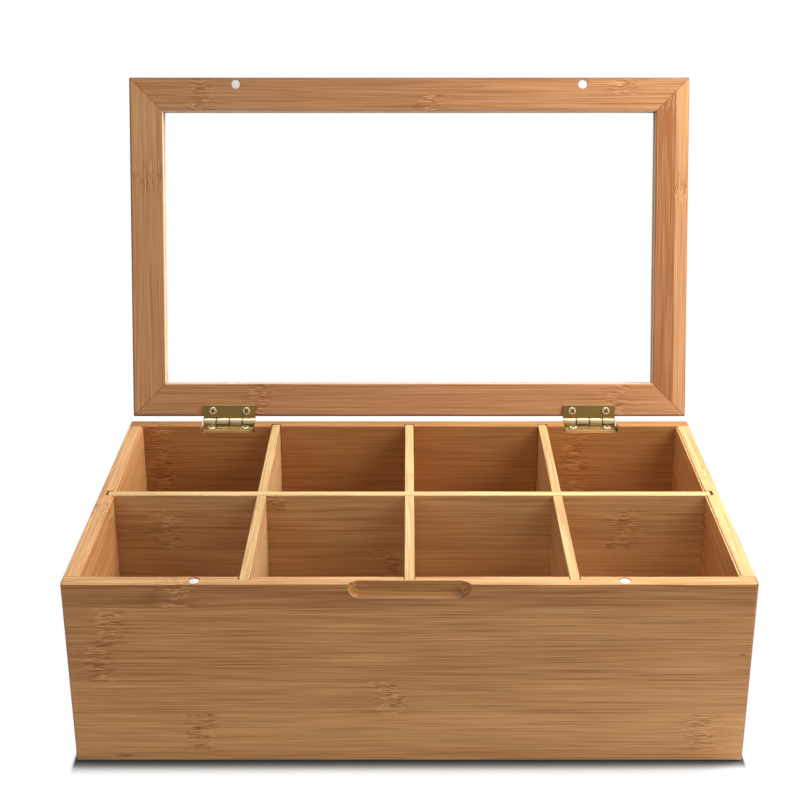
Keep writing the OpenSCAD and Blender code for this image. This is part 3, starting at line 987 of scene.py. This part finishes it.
def recess_cutter():
    """Two crossed wedges, wide at the top of the head and narrow at the bottom of the recess."""
    bm = bmesh.new()
    reach, wide, depth = HEAD * RECESS_REACH, HEAD * RECESS_WIDTH, HEAD_HEIGHT * RECESS_DEPTH
    foot = (reach * FOOT_REACH, wide * FOOT_WIDTH, HEAD_HEIGHT - depth)
    mouth = (reach, wide, HEAD_HEIGHT * 1.02)
    for quarter in (0, 1):
        turn = Matrix.Rotation(math.pi / 2 * quarter, 3, "Z")
        rings = []
        for x, y, z in (foot, mouth):
            corners = [(-x, -y, z), (x, -y, z), (x, y, z), (-x, y, z)]
            rings.append([bm.verts.new(turn @ Vector(corner)) for corner in corners])
        bm.faces.new(reversed(rings[0]))
        bm.faces.new(rings[1])
        for i in range(4):
            j = (i + 1) % 4
            bm.faces.new((rings[0][i], rings[0][j], rings[1][j], rings[1][i]))
    return mesh_object("recess", bm, SCREW_BRASS)


def in_recess(middle):
    """Whether a face with this middle lies in the recess."""
    return RECESS_FLOOR < middle.z < RECESS_RIM and middle.xy.length < RECESS_WALL


def screw():
    blank, cutter = screw_blank(), recess_cutter()
    cut = blank.modifiers.new("recess", "BOOLEAN")
    cut.object = cutter
    cut.operation = "DIFFERENCE"
    cut.use_self = True
    made = plain_mesh(blank, "screw_pattern")
    bpy.data.objects.remove(cutter)
    mark = made.data.attributes.new("recess", "FLOAT", "FACE")
    for face in made.data.polygons:
        mark.data[face.index].value = float(in_recess(face.center))
    return made


screw_pattern = screw()
print("screw of", len(screw_pattern.data.polygons), "faces")

# %% [markdown]
# ## One tree that seats many
#
# The same screw sits in eight places and the same magnet in four. Copies could be placed one by one,
# but a node tree says it once: it puts the pattern on every point it is given, turns each copy about
# its own axis by a seeded random angle, and hands back one real mesh. The lid's copies are made on the
# closed lid, upside down, and then swung open with it.

# %% Build the seating tree


def finished_copies(tree, out, finish, copies):
    """Ends a tree: instances on points, made real and given their material."""
    instances = add(tree, "GeometryNodeInstanceOnPoints", copies).outputs[0]
    real = add(tree, "GeometryNodeRealizeInstances", {"Geometry": instances}).outputs[0]
    made = add(tree, "GeometryNodeSetMaterial", {"Geometry": real, "Material": finish}).outputs[0]
    tree.links.new(made, out[0])


def seating_tree():
    takes = {"Points": "Geometry", "Pattern": "Object", "Lean": "Rotation", "Loose Turn": "Float"}
    takes |= {"Seed": "Int", "Finish": "Material"}
    tree, given, out = group("seated_copies", takes, {"Geometry": "Geometry"}, "GeometryNodeTree")
    points = add(tree, "GeometryNodeMeshToPoints", {"Mesh": given["Points"]}).outputs[0]
    pattern = add(tree, "GeometryNodeObjectInfo", {"Object": given["Pattern"]}).outputs["Geometry"]
    limits = {"Min": 0.0, "Max": given["Loose Turn"], "Seed": given["Seed"]}
    turn = add(tree, "FunctionNodeRandomValue", limits, data_type="FLOAT").outputs["Value"]
    spin = add(tree, "FunctionNodeAxisAngleToRotation", {"Axis": (0, 0, 1), "Angle": turn}).outputs[0]
    lean_and_spin = {"Rotation": given["Lean"], "Rotate By": spin}
    rotated = add(tree, "FunctionNodeRotateRotation", lean_and_spin, rotation_space="LOCAL").outputs[0]
    copies = {"Points": points, "Instance": pattern, "Rotation": rotated}
    finished_copies(tree, out, given["Finish"], copies)
    return tree


SEATING = seating_tree()


def give(modifier, **values):
    """Sets the inputs of a node tree's modifier by their identifiers."""
    for item in modifier.node_group.interface.items_tree:
        key = item.name.replace(" ", "_")
        if item.in_out == "INPUT" and key in values:
            modifier[item.identifier] = values[key]


def seat(name, pattern, places, on_lid, finish, seed):
    """Copies of a pattern on the places, each with a random turn. The lid's hang upside down."""
    mesh = bpy.data.meshes.new(name)
    mesh.from_pydata([tuple(p) for p in places], [], [])
    source = new_object(name + "_places", mesh)
    nodes = source.modifiers.new("seats", "NODES")
    nodes.node_group = SEATING
    lean = (0.0, math.pi, 0.0) if on_lid else (0.0, 0.0, 0.0)
    give(nodes, Pattern=pattern, Lean=lean, Loose_Turn=math.tau, Seed=seed, Finish=finish)
    made = plain_mesh(source, name)
    if on_lid:
        made.data.transform(OPEN_LID)
    return made


print("seating tree of", len(SEATING.nodes), "nodes")

# %% Drive the screws
SCREW_SEED = 4
screw_places = []
for number in range(1, 5):
    low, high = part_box(f"box_screw_{number}")
    screw_places.append(Vector(((low.x + high.x) / 2, (low.y + high.y) / 2, SEAT)))
mirrored_places = [Vector((p.x, p.y, 2 * AXIS.z - p.z)) for p in screw_places]
for body, places in (("box", screw_places), ("lid", mirrored_places)):
    made = seat(body + "_screws", screw_pattern, places, body == "lid", SCREW_BRASS, SCREW_SEED)
    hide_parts(*[f"{body}_screw_{number}" for number in range(1, 5)])
    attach(made, body)
    print(made.name, len(made.data.polygons), "faces")
bpy.data.objects.remove(screw_pattern)

# %% [markdown]
# ## Magnets
#
# Each magnet is a nickel-plated disc. Plating rounds the rim, so the outline has a soft edge, and the
# disc is set a little below the wood, which shows as a dark ring where the hole shades it.

# %% Turn the magnets
magnet_low, magnet_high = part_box("left_box_magnet")
MAGNET = (magnet_high.x - magnet_low.x) / 2
MAGNET_LENGTH = magnet_high.z - magnet_low.z
SOFT_RIM = 0.45 * MM
SINK = 0.2 * MM
MAGNET_SEED = 9


def magnet_pattern():
    half = MAGNET_LENGTH / 2
    top = half - SINK
    rim = arc((MAGNET - SOFT_RIM, top - SOFT_RIM), SOFT_RIM, 90, 0, 5)
    foot = arc((MAGNET - SOFT_RIM, SOFT_RIM - half), SOFT_RIM, 0, -90, 5)
    return turned("magnet_pattern", [(0, top), *rim, *foot, (0, -half)], NICKEL)


disc = magnet_pattern()
for body in ("box", "lid"):
    names = [f"{side}_{body}_magnet" for side in ("left", "right")]
    turn = CLOSE_LID if body == "lid" else Matrix.Identity(4)
    middles = [turn @ ((low + high) / 2) for low, high in map(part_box, names)]
    made = seat(body + "_magnets", disc, middles, body == "lid", NICKEL, MAGNET_SEED)
    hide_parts(*names)
    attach(made, body)
    print(made.name, [[round(c, 4) for c in m] for m in middles])
bpy.data.objects.remove(disc)

# %% [markdown]
# ## Hinges
#
# A butt hinge is two stamped leaves and a pin. The strip of each leaf is rolled round the pin at every
# second knuckle, and the roll ends just above the plate. The section of that roll is drawn once, as
# the outline of plate and curl. A node tree sweeps it over one knuckle's width and repeats it along
# the pin. The flat of the leaf is cut from a plate with two round corners. Both leaves are the same
# stamping: the lid's is the box's, turned over.

# %% Draw the roll and the plate
PLATE_GAP = 0.12 * MM
PIN_PLAY = 0.05 * MM
CORNER = 1.5 * MM
STAMPED_EDGE = 0.28 * MM
ROLL_GAP = 0.5 * MM
OVERLAP = 0.4 * MM


def roll_section():
    """Outline in (y, z) about the pin: the plate comes in from -y and curls over the pin."""
    hole = PIN + PIN_PLAY
    stop = PIN - ROLL_GAP
    outer = arc((0, 0), BARREL, -90, 180 + math.degrees(math.asin(stop / BARREL)), 36)
    inner = arc((0, 0), hole, 180 + math.degrees(math.asin(stop / hole)), -90, 30)
    tail = -(BARREL + KNUCKLE_GAP + OVERLAP)
    return [(tail, -BARREL), *outer, *inner, (tail, -PIN)]


def knuckle_tree():
    """Sweeps a section over one knuckle's width, closes it and repeats it along the pin."""
    takes = {"Section": "Geometry", "Width": "Float", "Pitch": "Float", "Count": "Int"}
    takes |= {"First": "Float", "Finish": "Material"}
    tree, given, out = group("rolled_knuckles", takes, {"Geometry": "Geometry"}, "GeometryNodeTree")
    sweep = {"Mesh": given["Section"], "Offset": xyz(tree, given["Width"]), "Offset Scale": 1.0}
    solid = add(tree, "GeometryNodeExtrudeMesh", sweep | {"Individual": False}).outputs[0]
    back = add(tree, "GeometryNodeFlipFaces", {"Mesh": given["Section"]}).outputs[0]
    closed = add(tree, "GeometryNodeJoinGeometry")
    tree.links.new(solid, closed.inputs[0])
    tree.links.new(back, closed.inputs[0])
    weld = {"Geometry": closed.outputs[0], "Distance": WELD}
    welded = add(tree, "GeometryNodeMergeByDistance", weld).outputs[0]
    start, pitch = xyz(tree, given["First"]), xyz(tree, given["Pitch"])
    spacing = {"Count": given["Count"], "Start Location": start, "Offset": pitch}
    row = add(tree, "GeometryNodeMeshLine", spacing).outputs[0]
    finished_copies(tree, out, given["Finish"], {"Points": row, "Instance": welded})
    return tree


print("roll of", len(roll_section()), "points")

# %% Shape the knuckles and the plate


def face_object(name, points):
    bm = bmesh.new()
    bm.faces.new([bm.verts.new(p) for p in points])
    mesh = bpy.data.meshes.new(name)
    bm.to_mesh(mesh)
    bm.free()
    return new_object(name, mesh)


def knuckles():
    source = face_object("roll", [(0, y, z) for y, z in roll_section()])
    nodes = source.modifiers.new("knuckles", "NODES")
    nodes.node_group = knuckle_tree()
    first = -HINGE / 2 + KNUCKLE_PITCH
    row = {"Pitch": 2 * KNUCKLE_PITCH, "Count": KNUCKLES // 2, "First": first}
    give(nodes, Width=KNUCKLE, Finish=BRASS, **row)
    return plain_mesh(source, "knuckles")


def plate_outline():
    """Plan of the flat of a leaf: two round corners, and a near edge just clear of the barrel."""
    near = -math.sqrt((BARREL + PLATE_GAP) ** 2 - PIN**2)
    half = HINGE / 2
    left = arc((CORNER - half, CORNER - REACH), CORNER, 180, 270, 6)
    right = arc((half - CORNER, CORNER - REACH), CORNER, 270, 360, 6)
    return [(-half, near), *left, *right, (half, near)]


def plate():
    bm = bmesh.new()
    base = bm.faces.new([bm.verts.new((x, y, -BARREL)) for x, y in plate_outline()])
    lifted = bmesh.ops.extrude_face_region(bm, geom=[base])["geom"]
    lifted = [part for part in lifted if isinstance(part, bmesh.types.BMVert)]
    bmesh.ops.translate(bm, verts=lifted, vec=(0, 0, LEAF))
    return mesh_object("plate", bm, BRASS)


print("knuckles of", round(KNUCKLE / MM, 2), "mm")

# %% Assemble the leaves


def joined(name, first, other):
    """One object of two, welded by a boolean union so that no face is left inside."""
    union = first.modifiers.new("union", "BOOLEAN")
    union.operation = "UNION"
    union.object = other
    made = plain_mesh(first, name)
    bpy.data.objects.remove(other)
    return made


def soften(piece):
    bevel = piece.modifiers.new("stamped_edge", "BEVEL")
    bevel.width = STAMPED_EDGE
    bevel.segments = 2
    bevel.limit_method = "ANGLE"
    bevel.angle_limit = math.radians(40)
    made = plain_mesh(piece, piece.name + "_soft")
    for polygon in made.data.polygons:
        polygon.use_smooth = True
    return made


# A leaf lying under the axis, which runs along X through the origin
leaf_pattern = soften(joined("leaf", plate(), knuckles()))
flipped = Matrix.Rotation(math.pi, 4, "Y")
for side in ("left", "right"):
    low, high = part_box(f"{side}_box_leaf")
    home = Matrix.Translation(((low.x + high.x) / 2, AXIS.y, AXIS.z))
    for body in ("box", "lid"):
        made = new_object(f"{side}_{body}_hinge_leaf", leaf_pattern.data.copy())
        made.data.transform(home if body == "box" else OPEN_LID @ home @ flipped)
        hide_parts(f"{side}_{body}_leaf")
        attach(made, body)
        print(made.name, len(made.data.polygons), "faces")
bpy.data.objects.remove(leaf_pattern)

# %% Turn the pins
PIN_DOME = 0.3 * MM
# Points of the dome: share of the pin's radius, share of the dome's height below its top
DOME = [(0.55, 0.12), (0.85, 0.45)]


def hinge_pin(side):
    half = (pin_high.x - pin_low.x) / 2
    end = [(PIN * out, half - PIN_DOME * down) for out, down in DOME]
    outline = [(0, half), *end, (PIN, half - PIN_DOME), (PIN, PIN_DOME - half)]
    outline += [(radius, -height) for radius, height in reversed(end)] + [(0, -half)]
    made = turned(f"{side}_pin", outline, BRASS)
    low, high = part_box(f"{side}_hinge_pin")
    home = Matrix.Translation((low + high) / 2) @ Matrix.Rotation(math.pi / 2, 4, "Y")
    made.data.transform(home)
    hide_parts(f"{side}_hinge_pin")
    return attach(made, "box")


for side in ("left", "right"):
    print(hinge_pin(side).name)
